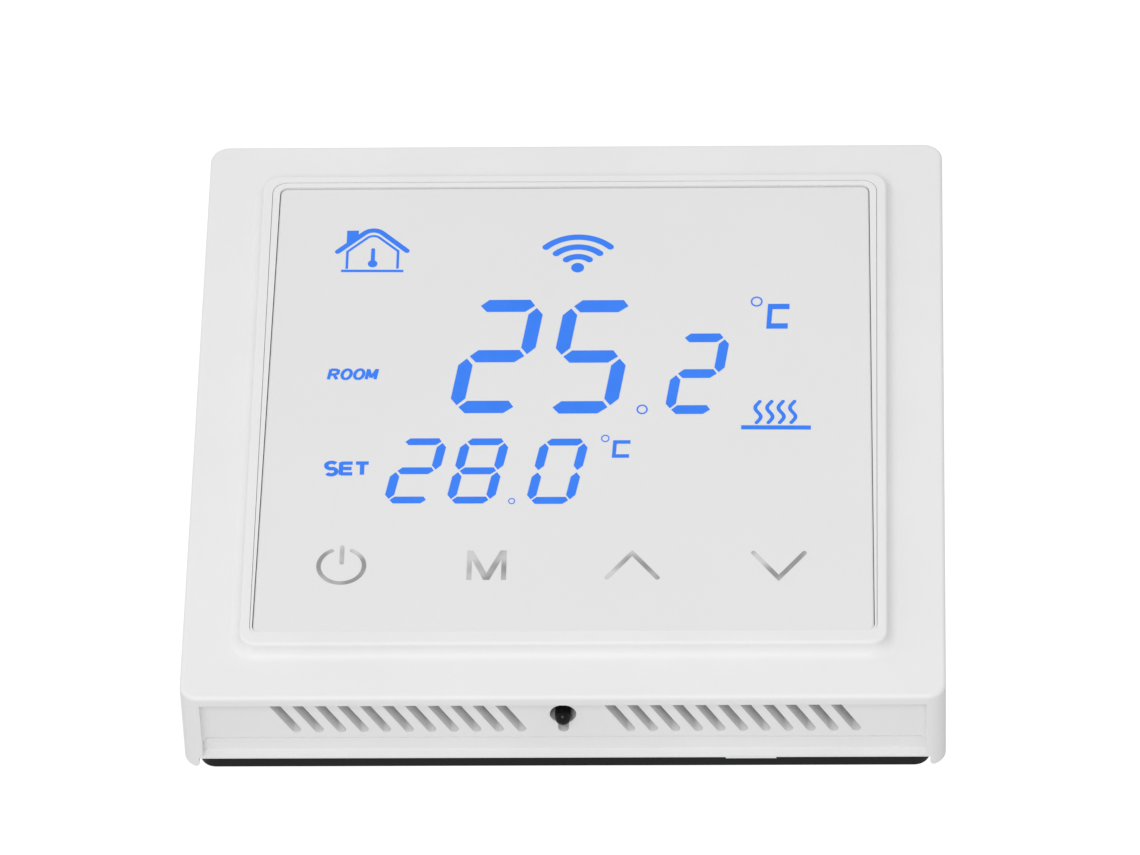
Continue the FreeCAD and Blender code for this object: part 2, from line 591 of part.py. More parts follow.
def header():
    wide = "(pin_pitch * pin_columns + 0.6)"
    body = block((f"-{wide} / 2", f"{wide} / 2"), (f"-{BOARD_BACK}", f"-{BOARD_BACK} + socket_depth"),
                 ("socket_z - pin_pitch - 0.5", "socket_z + pin_pitch + 0.5"))
    ways = [block((f"{x} - pin_side / 2 - 0.1", f"{x} + pin_side / 2 + 0.1"),
                  (f"-{BOARD_BACK} + 0.3", f"-{BOARD_BACK} + socket_depth + 1"),
                  (f"{z} - pin_side / 2 - 0.1", f"{z} + pin_side / 2 + 0.1")) for x, z in pin_spots()]
    node("header_socket", cut(body, *ways))
    pins = [block((f"{x} - pin_side / 2", f"{x} + pin_side / 2"), (f"-{BOARD_BACK} + 0.5", "power_front"),
                  (f"{z} - pin_side / 2", f"{z} + pin_side / 2")) for x, z in pin_spots()]
    base = block((f"-{wide} / 2", f"{wide} / 2"), ("power_front - 1.2", "power_front"),
                 ("socket_z - pin_pitch", "socket_z + pin_pitch"))
    node("header_pins", fuse(base, *pins))


# ---------------------------------------------------------------- mounting plate and in-wall box
def mounting_plate():
    half = f"({CAVITY} - plate_gap)"
    body = slab("mounting_plate", f"-{half}", half, f"-{PLATE_DROP}", half, "plate_corner", "plate_thick",
                "plate_thick")
    opening = sketch_on(body, "front", "plate_thick")
    draw_rounded(opening, "-window_width / 2", "window_width / 2", "-window_height / 2", "window_height / 2",
                 "corner_radius")
    for side in ("-", ""):
        centre = f"{side}wall_screw_pitch / 2"
        half_slot = "(slot_length / 2 - slot_width / 2)"
        draw_slot(opening, (f"{centre} - {half_slot}", "0"), (f"{centre} + {half_slot}", "0"),
                  "slot_width / 2")
    for x, z in corners("box_screw_x", "box_screw_z"):
        draw_circle(opening, x, z, "terminal_radius + hole_gap")
    pocket(body, opening, "plate_thick")
    tabs = sketch_on(body, "front", "plate_thick")
    outer = f"({CAVITY} - tab_gap)"
    for sign in (-1, 1):
        near, far = f"{sign} * ({outer} - tab_thick)", f"{sign} * {outer}"
        for z in ("boss_height - 14", "-boss_height + 14"):
            left, right = (far, near) if sign < 0 else (near, far)
            draw_polygon(tabs, [(left, f"{z} - tab_length / 2"), (right, f"{z} - tab_length / 2"),
                                (right, f"{z} + tab_length / 2"), (left, f"{z} + tab_length / 2")])
    pad(body, tabs, "tab_reach")
    pry = sketch_on(body, "front", "plate_thick")
    draw_polygon(pry, [("pry_left - fit_gap", f"{BOTTOM} - 1"), ("pry_right + fit_gap", f"{BOTTOM} - 1"),
                       ("pry_right + fit_gap", f"{BOTTOM} + bottom_wall + plate_gap"),
                       ("pry_left - fit_gap", f"{BOTTOM} + bottom_wall + plate_gap")])
    pocket(body, pry, "pry_depth + 0.05")


BLOCK_WIDE = "(poles * pole_pitch + 2 * block_skin)"
BLOCK_FRONT = "(box_depth - block_depth)"
BLOCK_TOP = "(-box_height / 2 + block_height)"


def rear_housing():
    body = new_body("rear_housing")
    collar = sketch_on(body, "front", "-box_flange")
    draw_rounded(collar, "-box_width / 2", "box_width / 2", "-box_flange_height / 2",
                 "box_flange_height / 2", "corner_radius")
    pad(body, collar, "box_flange")
    shell = sketch_on(body, "front", "-box_depth")
    draw_rounded(shell, "-box_width / 2", "box_width / 2", "-box_height / 2", "box_height / 2",
                 "corner_radius")
    pad(body, shell, "box_depth")
    soften(body, "0.8", lambda edge: in_plane(edge, "Y", number("box_depth")))
    inside = sketch_on(body, "front", "0")
    draw_rounded(inside, "-box_width / 2 + box_wall", "box_width / 2 - box_wall",
                 "-box_height / 2 + box_wall", "box_height / 2 - box_wall", "corner_radius / 2")
    pocket(body, inside, "box_depth - box_wall")
    gap = sketch_on(body, "front", f"-{BLOCK_FRONT} + fit_gap")
    draw_polygon(gap, [(f"-{BLOCK_WIDE} / 2 - fit_gap", "-box_height / 2 - 1"),
                       (f"{BLOCK_WIDE} / 2 + fit_gap", "-box_height / 2 - 1"),
                       (f"{BLOCK_WIDE} / 2 + fit_gap", f"{BLOCK_TOP} + fit_gap"),
                       (f"-{BLOCK_WIDE} / 2 - fit_gap", f"{BLOCK_TOP} + fit_gap")])
    pocket(body, gap, "block_depth + 1")
    holes = sketch_on(body, "front", "0")
    for x, z in corners("box_screw_x", "box_screw_z"):
        draw_circle(holes, x, z, "terminal_radius + hole_gap / 4")
    pocket(body, holes, "box_flange")
    posts = sketch_on(body, "front", "-box_depth + box_wall")
    for side in ("-", ""):
        draw_circle(posts, f"{side}(box_width / 2 - box_wall - post_radius + 0.2)",
                    "box_height / 2 - box_wall - post_radius + 0.2", "post_radius")
    pad(body, posts, "box_depth - box_wall - power_front - board_thick")


POST_X = "(box_width / 2 - box_wall - post_radius + 0.2)"
POST_Z = "(box_height / 2 - box_wall - post_radius + 0.2)"


def screw(x, head_front, z, radius, head, length):
    """A pan-head screw driven along +Y, with a straight slot in its head."""
    shank = rod("y", x, head_front, z, radius, length)
    cap = rod("y", x, head_front, z, head, "head_thick")
    slot = block((f"{x} - {head}", f"{x} + {head}"), (f"{head_front} - 0.1", f"{head_front} + head_thick / 2"),
                 (f"{z} - 0.25", f"{z} + 0.25"))
    return cut(fuse(shank, cap), slot)


def power_side():
    wide, high = "(box_width / 2 - box_wall - power_gap)", "(box_height / 2 - box_wall - power_gap)"
    board = block((f"-{wide}", wide), ("power_front", "power_front + board_thick"), (f"-{high}", high))
    holes = [rod("y", f"{side}{POST_X}", "power_front - 1", POST_Z, "screw_radius + hole_gap",
                 "board_thick + 2") for side in ("-", "")]
    ways = [block((f"{x} - 0.65", f"{x} + 0.65"), ("power_front - 1", "power_front + board_thick + 1"),
                  (f"{BLOCK_TOP} - 0.1", f"{BLOCK_TOP} + contact_thick + 0.2")) for x in pole_centres()]
    node("power_board", cut(board, *holes, *ways))
    screws = [screw(f"{side}{POST_X}", "power_front - head_thick - 0.05", POST_Z, "screw_radius",
                    "head_radius", "head_thick + board_thick") for side in ("-", "")]
    node("power_board_screws", group(*screws))
    cover = block((f"-{wide}", wide), ("0.1", "0.1 + cover_thick"), (f"-{high}", high))
    way = block(("-pin_pitch * pin_columns / 2 - 0.6", "pin_pitch * pin_columns / 2 + 0.6"),
                ("-1", "2"), ("socket_z - pin_pitch - 0.6", "socket_z + pin_pitch + 0.6"))
    node("insulating_cover", cut(cover, way))
    node("housing_screws", group(*[
        screw(x, "-plate_thick - head_thick - 0.02", z, "terminal_radius", "terminal_head * 1.2",
              "head_thick + plate_thick + box_flange + 3") for x, z in corners("box_screw_x", "box_screw_z")]))


def power_parts():
    """Mains parts on the power board's back, inside the box."""
    back = "power_front + board_thick"

    def stand(x, z, wide, high, tall):
        return block((f"{x} - {wide} / 2", f"{x} + {wide} / 2"), (back, f"{back} + {tall}"),
                     (f"{z} - {high} / 2", f"{z} + {high} / 2"))

    sharp = lambda edge: edge.BoundBox.YLength > 2
    node("relay", rounded(stand("-9.5", "9.3", "19", "15.4", "15.2"), "0.6", sharp))
    node("supply_module", rounded(stand("11.5", "5.4", "17", "14", "12.5"), "0.8", sharp))
    node("film_capacitor", rounded(stand("6", "-5.2", "13", "5", "11"), "0.7", sharp))
    node("filter_capacitor", rod("y", "-17", back, "-4.6", "4", "12"))
    node("fuse", rod("y", "17.5", back, "-5.4", "2.4", "8.5"))
    node("varistor", rod("z", "-7.4", f"{back} + 5.4", "-6.6", "4.2", "3.6"))


# ---------------------------------------------------------------- terminals
SCREW_Z = "(-box_height / 2 + block_height / 2 - 0.5)"
HEAD_BACK = "(box_depth - 0.3)"
HEAD_SEAT = f"({HEAD_BACK} - terminal_head_thick)"
CHAMBER_BACK = f"({HEAD_SEAT} - 0.85)"
CLAMP_FRONT = f"({CHAMBER_BACK} - 0.1 - clamp_travel - clamp_long)"
CONTACT_FRONT = f"({CLAMP_FRONT} + clamp_long - 2.3)"


def pole_centres():
    return [f"pole_pitch * {i - (SIZES['poles'] - 1) / 2}" for i in range(SIZES["poles"])]


def terminal_block():
    solid = block((f"-{BLOCK_WIDE} / 2", f"{BLOCK_WIDE} / 2"), (BLOCK_FRONT, "box_depth"),
                  ("-box_height / 2", BLOCK_TOP))
    tools = []
    for x in pole_centres():
        half = "(clamp_width / 2 + 0.15)"
        tools.append(block((f"{x} - {half}", f"{x} + {half}"), (f"{CLAMP_FRONT} - 0.15", CHAMBER_BACK),
                           (f"{SCREW_Z} - clamp_high / 2 - 0.6", f"{SCREW_Z} + clamp_high / 2 + 0.6")))
        tools.append(rod("y", x, f"{CHAMBER_BACK} - 1", SCREW_Z, "terminal_radius + run_gap", "3"))
        tools.append(rod("y", x, f"{HEAD_SEAT} - 0.05", SCREW_Z, "terminal_head + run_gap", "3"))
        tools.append(block((f"{x} - wire_way / 2", f"{x} + wire_way / 2"),
                           (f"{CLAMP_FRONT} + clamp_wall", f"{CONTACT_FRONT} + 0.1"),
                           ("-box_height / 2 - 1", SCREW_Z)))
        tools.append(block((f"{x} - 1.6", f"{x} + 1.6"),
                           (f"{CONTACT_FRONT} - 0.1", f"{CONTACT_FRONT} + contact_thick + 0.1"),
                           (SCREW_Z, f"{BLOCK_TOP} + 1")))
    node("terminal_block", cut(solid, *tools))


def terminal_contacts():
    bars = []
    for x in pole_centres():
        tongue = block((f"{x} - 1.5", f"{x} + 1.5"), (CONTACT_FRONT, f"{CONTACT_FRONT} + contact_thick"),
                       (f"{SCREW_Z} - clamp_high / 2 - 0.2", f"{BLOCK_TOP} + contact_thick"))
        leg = block((f"{x} - 0.5", f"{x} + 0.5"), ("power_front - 0.6", f"{CONTACT_FRONT} + contact_thick"),
                    (f"{BLOCK_TOP} + 0.05", f"{BLOCK_TOP} + contact_thick"))
        bars.append(fuse(tongue, leg))
    node("terminal_contacts", group(*bars))


def terminals():
    """One screw and one rising clamp for each pole; both move, so each is a node of its own."""
    for i, x in enumerate(pole_centres(), start=1):
        tip = f"({CONTACT_FRONT} + contact_thick + 0.1)"
        shank = rod("y", x, tip, SCREW_Z, "terminal_radius", f"{HEAD_SEAT} - {tip} + 0.1")
        head = rod("y", x, HEAD_SEAT, SCREW_Z, "terminal_head", "terminal_head_thick")
        slot = block((f"{x} - terminal_head - 0.2", f"{x} + terminal_head + 0.2"),
                     (f"{HEAD_BACK} - 0.6", f"{HEAD_BACK} + 0.1"), (f"{SCREW_Z} - 0.35", f"{SCREW_Z} + 0.35"))
        node(f"terminal_screw_{i}", cut(fuse(shank, head), slot))
        low, high = f"{SCREW_Z} - clamp_high / 2", f"{SCREW_Z} + clamp_high / 2"
        ring = block((f"{x} - clamp_width / 2", f"{x} + clamp_width / 2"),
                     (CLAMP_FRONT, f"{CLAMP_FRONT} + clamp_long"), (low, high))
        way = block((f"{x} - clamp_width / 2 + clamp_wall", f"{x} + clamp_width / 2 - clamp_wall"),
                    (f"{CLAMP_FRONT} + clamp_wall", f"{CLAMP_FRONT} + clamp_long - 1.4"),
                    (f"{low} - 1", f"{high} + 1"))
        thread = rod("y", x, CLAMP_FRONT + " + clamp_long - 2", SCREW_Z, "terminal_radius + run_gap", "3")
        node(f"terminal_clamp_{i}", cut(ring, way, thread))


def write_steps():
    """Check every object and sub-part, then write one STEP file per sub-part."""
    document.recompute()
    failed = [thing.Name for thing in document.Objects if {"Invalid", "Error"} & set(thing.State)]
    if failed:
        raise RuntimeError(f"objects failed: {failed}")
    for thing in nodes:
        if thing.Shape.isNull() or not thing.Shape.isValid() or not thing.Shape.Solids:
            raise RuntimeError(f"{thing.Label}: its shape is null, invalid or holds no solid")
    os.makedirs("parts", exist_ok=True)
    for old in os.listdir("parts"):
        os.remove(os.path.join("parts", old))
    for thing in nodes:
        thing.Shape.exportStep(f"parts/{thing.Label}.step")
        print(f"{thing.Label:22s} {len(thing.Shape.Solids):3d} solids {thing.Shape.Volume:9.1f} mm3")


underside(front_frame())
display_carrier()
touch_glass()
display_stack()
touch_springs()
control_board()
board_parts()
probe()
header()
mounting_plate()
rear_housing()
power_side()
power_parts()
terminal_block()
terminal_contacts()
terminals()
write_steps()
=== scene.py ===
"""Looks of the wall thermostat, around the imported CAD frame. Lengths in the layout are in millimetres."""
import json
import math

import bmesh
import bpy
from mathutils import Matrix, Vector


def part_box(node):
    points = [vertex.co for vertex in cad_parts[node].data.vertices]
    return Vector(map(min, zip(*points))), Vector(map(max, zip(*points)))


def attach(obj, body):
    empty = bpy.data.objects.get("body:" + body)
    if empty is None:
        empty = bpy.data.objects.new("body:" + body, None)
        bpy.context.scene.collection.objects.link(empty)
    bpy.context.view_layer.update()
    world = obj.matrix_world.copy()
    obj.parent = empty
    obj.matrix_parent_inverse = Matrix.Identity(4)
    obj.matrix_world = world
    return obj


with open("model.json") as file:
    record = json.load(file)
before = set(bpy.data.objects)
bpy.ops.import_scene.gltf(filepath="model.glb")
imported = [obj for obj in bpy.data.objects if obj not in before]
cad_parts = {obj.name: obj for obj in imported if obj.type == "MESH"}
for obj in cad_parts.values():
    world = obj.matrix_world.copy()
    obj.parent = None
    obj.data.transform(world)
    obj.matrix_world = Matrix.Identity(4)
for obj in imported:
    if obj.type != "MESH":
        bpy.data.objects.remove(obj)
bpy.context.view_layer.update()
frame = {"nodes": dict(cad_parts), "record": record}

MM = 0.001
FACE_BODY = "face"

# ------------------------------------------------------------------ driving values
GLASS_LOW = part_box("touch_glass")[0]
PRINT_THICK = 0.03                      # how far a symbol stands on the glass
PRINT_SINK = 0.01                       # how far it goes into the glass
LAYER_STEP = 0.0012                     # keeps crossing strokes of one symbol from sharing a plane
DISPLAY_RISE = 0.23                     # the whole print stands this much above the panel's middle

CAMERA_AIM = Vector((-0.2, -4.54, 4.6)) * MM
CAMERA_DISTANCE = 1.1771
CAMERA_AZIMUTH = 2.57
CAMERA_ELEVATION = -42.35
CAMERA_ROLL = 1.5
CAMERA_LENS = 321.35
CAMERA_SENSOR = 36                      # the lens and this are in real millimetres
CAMERA_REACH = 20                       # metres; nothing further away is seen

FLOOR_SIZE = 60                         # metres
FLOOR_HEIGHT = -3.0                     # metres; below the camera at every viewing angle
BRIGHT_SIDE = (-0.75, -0.6, 0.1)        # the world light is stronger from here
WORLD_DIM, WORLD_BRIGHT = 0.56, 0.84
BACKDROP_STRENGTH = 1.05
KEY_PLACE = (-0.16, -0.86, -0.71)       # metres
KEY_SIZE = 0.45                         # metres
KEY_POWER = 4.15                        # watts

DIGIT_WIDTH = 6.3                       # between the tips of a level segment of a full-size digit
DIGIT_STEP = 7.93                       # from one level segment to the next
DIGIT_STROKE = 1.9
DIGIT_UPRIGHT = 1.66
SIDE_GAP = 0.26                         # from a level segment's tip to the middle of an upright one
UPRIGHT_LIFT = 0.3                      # an upright one starts this much above the level one below it
UPRIGHT_DROP = 0.36                     # and ends this much below the level one above it
SEGMENTS = {"0": "abcdef", "2": "abdeg", "5": "acdfg", "8": "abcdefg"}


# ------------------------------------------------------------------ materials
def new_material(name):
    material = bpy.data.materials.new(name)
    material.use_nodes = True
    return material, material.node_tree.nodes, material.node_tree.links


def noise_of(nodes, links, scale, detail=2.0):
    """3-D noise in object space; scale is in features per metre."""
    place = nodes.new("ShaderNodeTexCoord")
    noise = nodes.new("ShaderNodeTexNoise")
    noise.inputs["Scale"].default_value = scale
    noise.inputs["Detail"].default_value = detail
    links.new(place.outputs["Object"], noise.inputs["Vector"])
    return noise


def ramp_of(nodes, links, source, low, high, start=0.3, end=0.7):
    """A two-colour ramp on a value."""
    ramp = nodes.new("ShaderNodeValToRGB")
    ramp.color_ramp.elements[0].position = start
    ramp.color_ramp.elements[1].position = end
    ramp.color_ramp.elements[0].color = (*low, 1)
    ramp.color_ramp.elements[1].color = (*high, 1)
    links.new(source, ramp.inputs["Fac"])
    return ramp


def bump_of(nodes, links, height, strength, distance):
    bump = nodes.new("ShaderNodeBump")
    bump.inputs["Strength"].default_value = strength
    bump.inputs["Distance"].default_value = distance
    links.new(height, bump.inputs["Height"])
    return bump


def shade(colour, factor):
    return tuple(min(1.0, c * factor) for c in colour)


def moulded(name, colour, roughness, grain=9000, depth=0.00001, mottle=0.015, specular=0.5):
    """Moulded plastic: a fine spark-eroded grain, faint mottling and uneven gloss."""
    material, nodes, links = new_material(name)
    shader = nodes["Principled BSDF"]
    shader.inputs["Specular IOR Level"].default_value = specular
    patches = noise_of(nodes, links, scale=60, detail=3)
    darker, lighter = shade(colour, 1 - mottle), shade(colour, 1 + mottle)
    tint = ramp_of(nodes, links, patches.outputs["Fac"], darker, lighter)
    links.new(tint.outputs["Color"], shader.inputs["Base Color"])
    gloss = nodes.new("ShaderNodeMapRange")
    gloss.inputs["To Min"].default_value = roughness * 0.92
    gloss.inputs["To Max"].default_value = roughness * 1.08
    links.new(patches.outputs["Fac"], gloss.inputs["Value"])
    links.new(gloss.outputs["Result"], shader.inputs["Roughness"])
    skin = noise_of(nodes, links, scale=grain, detail=3)
    bump = bump_of(nodes, links, skin.outputs["Fac"], strength=0.6, distance=depth)
    links.new(bump.outputs["Normal"], shader.inputs["Normal"])
    return material


def metal(name, colour, roughness, stretch=(1, 1, 30)):
    """Drawn or plated metal with fine lines along one direction."""
    material, nodes, links = new_material(name)
    shader = nodes["Principled BSDF"]
    shader.inputs["Metallic"].default_value = 1.0
    place = nodes.new("ShaderNodeTexCoord")
    squeeze = nodes.new("ShaderNodeMapping")
    squeeze.inputs["Scale"].default_value = stretch
    noise = nodes.new("ShaderNodeTexNoise")
    noise.inputs["Scale"].default_value = 900
    noise.inputs["Detail"].default_value = 3
    links.new(place.outputs["Object"], squeeze.inputs["Vector"])
    links.new(squeeze.outputs["Vector"], noise.inputs["Vector"])
    tint = ramp_of(nodes, links, noise.outputs["Fac"], shade(colour, 0.85), shade(colour, 1.08))
    links.new(tint.outputs["Color"], shader.inputs["Base Color"])
    worn = nodes.new("ShaderNodeMapRange")
    worn.inputs["To Min"].default_value = roughness * 0.8
    worn.inputs["To Max"].default_value = roughness * 1.25
    links.new(noise.outputs["Fac"], worn.inputs["Value"])
    links.new(worn.outputs["Result"], shader.inputs["Roughness"])
    bump = bump_of(nodes, links, noise.outputs["Fac"], strength=0.3, distance=0.00001)
    links.new(bump.outputs["Normal"], shader.inputs["Normal"])
    return material


def lit_blue():
    """Backlit display segment: an even blue that glows a little."""
    material, nodes, links = new_material("display_blue")
    shader = nodes["Principled BSDF"]
    shader.inputs["Roughness"].default_value = 0.35
    shader.inputs["Specular IOR Level"].default_value = 0.3
    shader.inputs["Emission Color"].default_value = (0.02, 0.11, 0.75, 1)
    shader.inputs["Emission Strength"].default_value = 0.42
    cells = noise_of(nodes, links, scale=350, detail=2)
    tint = ramp_of(nodes, links, cells.outputs["Fac"], (0.022, 0.165, 0.60), (0.028, 0.18, 0.64))
    links.new(tint.outputs["Color"], shader.inputs["Base Color"])
    return material


def silver_print():
    """Metallic grey ink whose tone drifts from dark to light across each key symbol."""
    material, nodes, links = new_material("icon_silver")
    shader = nodes["Principled BSDF"]
    shader.inputs["Roughness"].default_value = 0.4
    drift = noise_of(nodes, links, scale=260, detail=1)
    dark, light = (0.30, 0.30, 0.305), (0.64, 0.64, 0.645)
    tint = ramp_of(nodes, links, drift.outputs["Fac"], dark, light, start=0.38, end=0.62)
    links.new(tint.outputs["Color"], shader.inputs["Base Color"])
    return material


def printed_panel():
    """Touch panel: light grey print behind a clear smooth front."""
    material, nodes, links = new_material("panel_glass")
    shader = nodes["Principled BSDF"]
    shader.inputs["Roughness"].default_value = 0.32
    shader.inputs["Coat Weight"].default_value = 0.25
    shader.inputs["Coat Roughness"].default_value = 0.12
    cloud = noise_of(nodes, links, scale=35, detail=2)
    tint = ramp_of(nodes, links, cloud.outputs["Fac"], (0.797, 0.797, 0.797), (0.812, 0.812, 0.812))
    links.new(tint.outputs["Color"], shader.inputs["Base Color"])
    ripple = noise_of(nodes, links, scale=180, detail=1)
    bump = bump_of(nodes, links, ripple.outputs["Fac"], strength=0.04, distance=0.00002)
    links.new(bump.outputs["Normal"], shader.inputs["Normal"])
    return material


def copper_tracks(nodes, links, turn, colours):
    """Long parallel copper tracks under the mask, along one direction of the board."""
    place = nodes.new("ShaderNodeTexCoord")
    turned = nodes.new("ShaderNodeMapping")
    turned.inputs["Rotation"].default_value = turn
    tracks = nodes.new("ShaderNodeTexBrick")
    tracks.offset = 0.37
    tracks.squash = 0.6
    tracks.squash_frequency = 3
    for name, colour in zip(("Color1", "Color2", "Mortar"), colours):
        tracks.inputs[name].default_value = colour
    tracks.inputs["Scale"].default_value = 160
    tracks.inputs["Brick Width"].default_value = 1.9
    tracks.inputs["Row Height"].default_value = 0.12
    tracks.inputs["Mortar Size"].default_value = 0.018
    tracks.inputs["Mortar Smooth"].default_value = 0.3
    links.new(place.outputs["Object"], turned.inputs["Vector"])
    links.new(turned.outputs["Vector"], tracks.inputs["Vector"])
    return tracks


def circuit_board():
    """Green solder mask over faint copper tracks, across or along the board from patch to patch."""
    material, nodes, links = new_material("board_green")
    shader = nodes["Principled BSDF"]
    shader.inputs["Roughness"].default_value = 0.38
    mask_dark = (0.020, 0.155, 0.068, 1)
    mask_light = (0.022, 0.170, 0.075, 1)
    copper = (0.035, 0.235, 0.100, 1)
    across = copper_tracks(nodes, links, (math.pi / 2, 0, 0), (mask_dark, mask_light, copper))
    along = copper_tracks(nodes, links, (math.pi / 2, 0, math.pi / 2), (mask_dark, mask_light, copper))
    patches = noise_of(nodes, links, scale=70, detail=1)
    choose = nodes.new("ShaderNodeMath")
    choose.operation = "GREATER_THAN"
    choose.inputs[1].default_value = 0.5
    links.new(patches.outputs["Fac"], choose.inputs[0])
    colour = nodes.new("ShaderNodeMixRGB")
    height = nodes.new("ShaderNodeMixRGB")
    for mix, output in ((colour, "Color"), (height, "Fac")):
        links.new(choose.outputs["Value"], mix.inputs["Fac"])
        links.new(across.outputs[output], mix.inputs["Color1"])
        links.new(along.outputs[output], mix.inputs["Color2"])
    links.new(colour.outputs["Color"], shader.inputs["Base Color"])
    bump = bump_of(nodes, links, height.outputs["Color"], strength=0.3, distance=0.00003)
    links.new(bump.outputs["Normal"], shader.inputs["Normal"])
    return material


def clear_sheet(name, colour, roughness):
    """Clear acrylic or display glass, mostly see-through."""
    material, nodes, links = new_material(name)
    shader = nodes["Principled BSDF"]
    shader.inputs["Transmission Weight"].default_value = 0.6
    shader.inputs["Roughness"].default_value = roughness
    haze = noise_of(nodes, links, scale=120, detail=2)
    tint = ramp_of(nodes, links, haze.outputs["Fac"], shade(colour, 0.97), colour)
    links.new(tint.outputs["Color"], shader.inputs["Base Color"])
    return material


MATERIALS = {
    "white_shell": moulded("white_shell", (0.84, 0.84, 0.84), 0.5),
    "panel_glass": printed_panel(),
    "display_blue": lit_blue(),
    "icon_silver": silver_print(),
    "lcd_glass": clear_sheet("lcd_glass", (0.35, 0.38, 0.40), 0.08),
    "white_film": moulded("white_film", (0.88, 0.88, 0.88), 0.35, grain=4000),
    "clear_acrylic": clear_sheet("clear_acrylic", (0.88, 0.92, 0.94), 0.05),
    "led_package": moulded("led_package", (0.85, 0.80, 0.55), 0.3),
    "grey_rubber": moulded("grey_rubber", (0.28, 0.30, 0.34), 0.7, grain=3000),
    "spring_steel": metal("spring_steel", (0.72, 0.66, 0.52), 0.28),
    "board_green": circuit_board(),
    "zinc_steel": metal("zinc_steel", (0.62, 0.63, 0.64), 0.33),
    "chip_black": moulded("chip_black", (0.03, 0.03, 0.032), 0.55, grain=5000),
    "tin_shield": metal("tin_shield", (0.70, 0.70, 0.71), 0.25, (30, 1, 1)),
    "probe_epoxy": moulded("probe_epoxy", (0.006, 0.006, 0.007), 0.1, grain=600, mottle=0.2,
                           specular=0.2),
    "lead_black": moulded("lead_black", (0.025, 0.025, 0.027), 0.5),
    "socket_black": moulded("socket_black", (0.03, 0.03, 0.032), 0.45),
    "plate_black": moulded("plate_black", (0.010, 0.010, 0.011), 0.35, grain=3500, depth=0.00002,
                           mottle=0.12, specular=0.15),
    "housing_white": moulded("housing_white", (0.72, 0.72, 0.71), 0.5, grain=5000, depth=0.00002),
    "cover_white": moulded("cover_white", (0.66, 0.66, 0.64), 0.55),
    "relay_blue": moulded("relay_blue", (0.02, 0.10, 0.40), 0.35, grain=4000),
    "capacitor_yellow": moulded("capacitor_yellow", (0.72, 0.46, 0.04), 0.4, grain=4000),
    "capacitor_can": metal("capacitor_can", (0.62, 0.64, 0.66), 0.3),
    "fuse_brown": moulded("fuse_brown", (0.14, 0.06, 0.03), 0.4),
    "varistor_blue": moulded("varistor_blue", (0.04, 0.14, 0.42), 0.45, grain=1500, depth=0.00005),
    "brass_pin": metal("brass_pin", (0.80, 0.62, 0.26), 0.22),
    "terminal_green": moulded("terminal_green", (0.03, 0.26, 0.09), 0.42, grain=4000, depth=0.00002),
}


def finish_cad_nodes():
    """Every CAD node that stays gets its slot's material."""
    for part in frame["record"]["subparts"]:
        node = frame["nodes"][part["node"]]
        node.material_slots[0].material = MATERIALS[part["material_slot"]]


# ------------------------------------------------------------------ flat shapes on the panel
def arc(centre, radius, start, end, steps=24, squash=1.0):
    """Points along an arc; angles in degrees from +x, counter-clockwise."""
    turns = [math.radians(start + (end - start) * i / steps) for i in range(steps + 1)]
    return [(centre[0] + radius * math.cos(turn), centre[1] + radius * squash * math.sin(turn))
            for turn in turns]


def disc(centre, radius, squash=1.0, steps=32):
    return arc(centre, radius, 0, 360, steps, squash)[:-1]


def direction(a, b):
    length = math.dist(a, b)
    return ((b[0] - a[0]) / length, (b[1] - a[1]) / length)


def ribbon(points, width, round_ends=True):
    """The outline of a stroke of even width along an open line, with mitred corners."""
    half = width / 2
    left, right = [], []
    for i, (x, z) in enumerate(points):
        before = direction(points[max(i - 1, 0)], points[max(i, 1)])
        after = direction(points[min(i, len(points) - 2)], points[min(i + 1, len(points) - 1)])
        nx, nz = -(before[1] + after[1]) / 2, (before[0] + after[0]) / 2
        reach = half / (nx * nx + nz * nz)
        left.append((x + nx * reach, z + nz * reach))
        right.append((x - nx * reach, z - nz * reach))
    if not round_ends:
        return left + right[::-1]
    ahead = direction(points[-2], points[-1])
    behind = direction(points[1], points[0])
    turn_end = math.degrees(math.atan2(ahead[1], ahead[0]))
    turn_start = math.degrees(math.atan2(behind[1], behind[0]))
    cap_end = arc(points[-1], half, turn_end + 90, turn_end - 90, 10)[1:-1]
    cap_start = arc(points[0], half, turn_start + 90, turn_start - 90, 10)[1:-1]
    return left + cap_end + right[::-1] + cap_start


def rounded_corner(before, corner, after, radius, steps=10):
    """Points of the arc that rounds a corner of a line."""
    into, out = direction(corner, before), direction(corner, after)
    cosine = into[0] * out[0] + into[1] * out[1]
    half_angle = math.acos(max(-1.0, min(1.0, cosine))) / 2
    back = radius / math.tan(half_angle)
    start = Vector((corner[0] + into[0] * back, corner[1] + into[1] * back))
    end = Vector((corner[0] + out[0] * back, corner[1] + out[1] * back))
    middle = Vector(corner) + (Vector(into) + Vector(out)).normalized() * (radius / math.sin(half_angle))
    a, b = start - middle, end - middle
    sweep = a.angle_signed(b)
    points = []
    for i in range(steps + 1):
        turn = Matrix.Rotation(-sweep * i / steps, 2)
        points.append(tuple(middle + turn @ a))
    return points


def add_piece(name, shape, slot):
    """A finished shape becomes a piece that rides on the face."""
    mesh = bpy.data.meshes.new(name)
    shape.to_mesh(mesh)
    shape.free()
    mesh.materials.append(MATERIALS[slot])
    piece = bpy.data.objects.new(name, mesh)
    bpy.context.collection.objects.link(piece)
    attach(piece, FACE_BODY)


